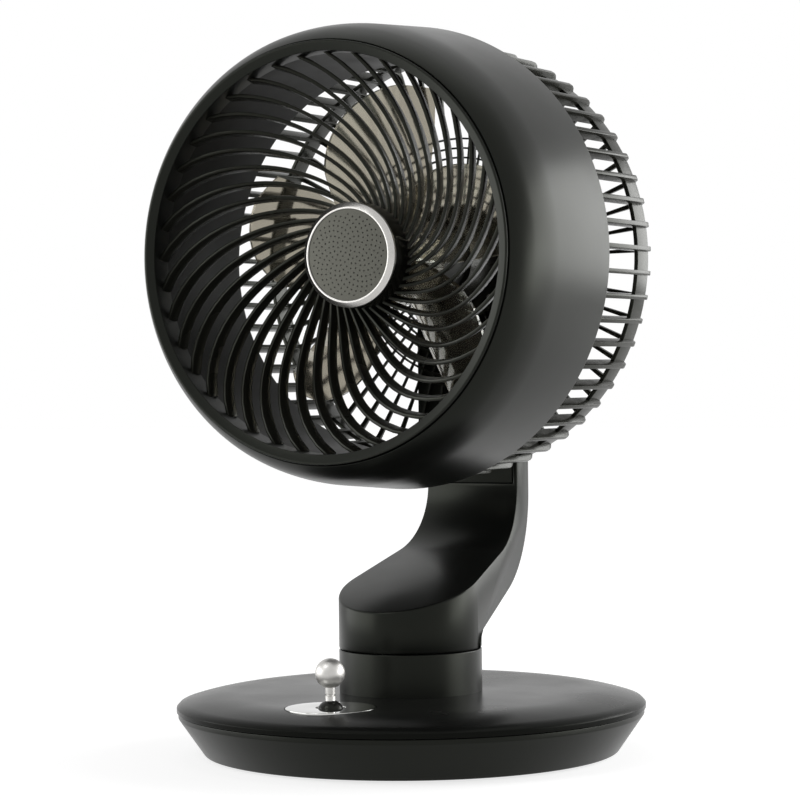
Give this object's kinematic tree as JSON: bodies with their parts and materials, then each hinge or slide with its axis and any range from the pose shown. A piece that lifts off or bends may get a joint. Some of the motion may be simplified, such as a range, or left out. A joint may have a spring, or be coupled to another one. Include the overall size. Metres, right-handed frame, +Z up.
{
  "type": "usb table fan",
  "caption": "Table fan with a drum head behind a spiral-fin grille, tilting on a swept neck that swivels on a round weighted base with a ball-ended switch lever.",
  "frame": {"origin": "centre of the round base on the table, at the bottom of the rubber ring", "axes": "+Z up, the fan blows towards -Y, +X to the right of a viewer who faces the fan"},
  "size_m": [0.2, 0.2, 0.3089],
  "materials": {
    "charcoal_shell": "satin charcoal moulding",
    "charcoal_grille": "satin dark grey moulding",
    "foot_rubber": "matt rubber",
    "ballast_steel": "raw steel",
    "board": "green laminate",
    "inlet_steel": "stamped shell",
    "switch_plastic": "black",
    "polished_steel": "mirror polish",
    "satin_steel": "satin turned",
    "pivot_plastic": "black",
    "bearing_plastic": "natural white",
    "plated_steel": "zinc plated",
    "cap_plastic": "satin charcoal",
    "hub_plate_metal": "dark satin",
    "motor_plastic": "black",
    "motor_core": "laminations",
    "bearing_bronze": "sintered bronze",
    "blade_plastic": "smoke tint"
  },
  "bodies": {
    "base": {"base_pan": "charcoal_shell", "base_cover": "charcoal_shell", "foot_ring": "foot_rubber", "ballast_plate": "ballast_steel", "control_board": "board", "usb_inlet": "inlet_steel", "selector_switch": "switch_plastic", "lever_plate": "polished_steel", "lever_socket": "switch_plastic", "swivel_collar": "charcoal_shell", "swivel_bush": "bearing_plastic", "swivel_washer": "bearing_plastic", "base_screws": "plated_steel"},
    "lever": {"lever_knob": "satin_steel", "lever_stem": "satin_steel", "lever_pivot_ball": "pivot_plastic", "lever_cross_pin": "plated_steel"},
    "neck": {"neck_shell": "charcoal_shell", "neck_front_panel": "charcoal_shell", "swivel_spindle": "plated_steel", "spindle_nut": "plated_steel", "tilt_pin": "plated_steel", "tilt_pin_caps": "cap_plastic", "tilt_washers": "bearing_plastic"},
    "head": {"drum_shroud": "charcoal_shell", "front_grille": "charcoal_grille", "hub_ring": "polished_steel", "hub_plate": "hub_plate_metal", "rear_grille": "charcoal_grille", "tilt_bracket": "charcoal_shell", "bracket_screws": "plated_steel", "shroud_screws": "plated_steel", "motor_screws": "plated_steel", "motor_can": "plated_steel", "motor_end_cap": "motor_plastic", "motor_stator": "motor_core", "front_bearing": "bearing_bronze", "rear_bearing": "bearing_bronze"},
    "impeller": {"impeller": "blade_plastic", "motor_shaft": "plated_steel", "motor_rotor": "motor_core", "impeller_nut": "plated_steel"}
  },
  "joints": [
    {"name": "neck_swivel", "type": "hinge", "parent": "base", "child": "neck", "pos_m": [0, 0, 0.0446], "axis": [0, 0, 1], "range_deg": [-40, 40]},
    {"name": "head_tilt", "type": "hinge", "parent": "neck", "child": "head", "pos_m": [0, 0.06475, 0.179], "axis": [-1, 0, 0], "range_deg": [-4, 30]},
    {"name": "impeller_spin", "type": "hinge", "parent": "head", "child": "impeller", "pos_m": [0, 0, 0.2106], "axis": [0, -1, 0], "continuous": true},
    {"name": "lever_toggle", "type": "hinge", "parent": "base", "child": "lever", "pos_m": [0, -0.066, 0.024], "axis": [1, 0, 0], "range_deg": [-12, 12]}
  ]
}
